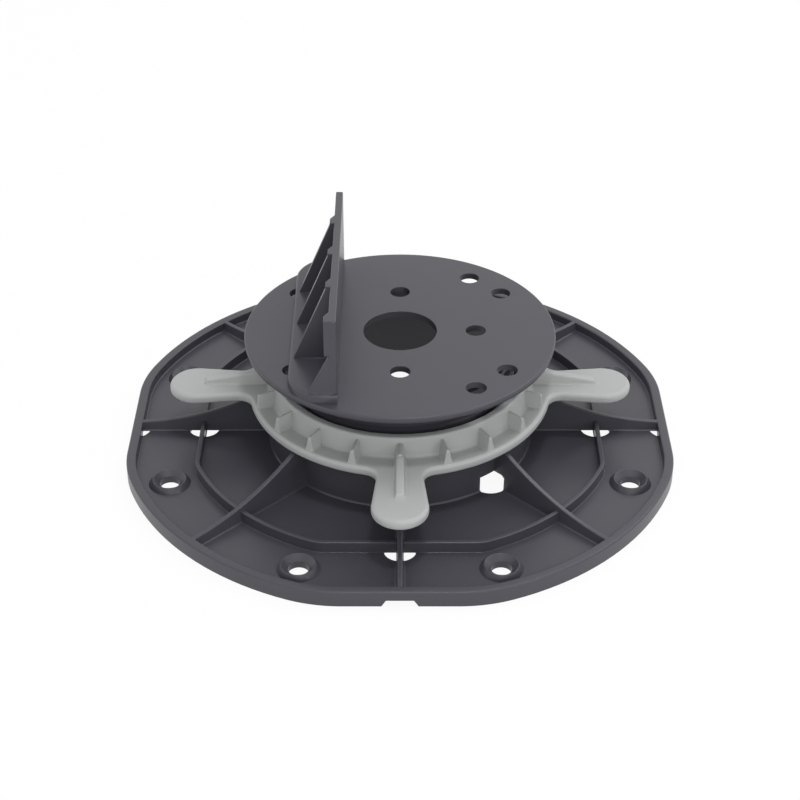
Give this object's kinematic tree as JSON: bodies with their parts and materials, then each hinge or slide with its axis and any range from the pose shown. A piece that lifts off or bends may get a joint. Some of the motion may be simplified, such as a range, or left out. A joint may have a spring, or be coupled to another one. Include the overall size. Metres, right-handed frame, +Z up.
{
  "type": "decking pedestal",
  "caption": "Adjustable decking pedestal: ribbed base, threaded height nut with finger arms, perforated head disc and upright joist bracket.",
  "frame": {"origin": "on the ground at the middle of the base, on the axis of the thread", "axes": "+Z up along the thread; the upright of the joist bracket stands on the -X side with its face towards +X"},
  "size_m": [0.1928, 0.1928, 0.0755],
  "materials": {
    "dark_plastic": "satin moulded, dark grey",
    "light_plastic": "satin moulded, light grey"
  },
  "bodies": {
    "base": {"base_plate": "dark_plastic"},
    "nut": {"adjusting_ring": "light_plastic"},
    "lift": {"head": "dark_plastic", "joist_bracket": "dark_plastic"}
  },
  "joints": [
    {"name": "ring_turn", "type": "hinge", "parent": "base", "child": "nut", "pos_m": [0, 0, 0.019], "axis": [0, 0, 1], "range_deg": [-504, 792]},
    {"name": "head_lift", "type": "slide", "parent": "base", "child": "lift", "axis": [0, 0, 1], "range_m": [-0.0111, 0.0071]}
  ],
  "couplings": [
    {"joint": "head_lift", "follows": "ring_turn", "m_per_rad": -0.00079577}
  ]
}
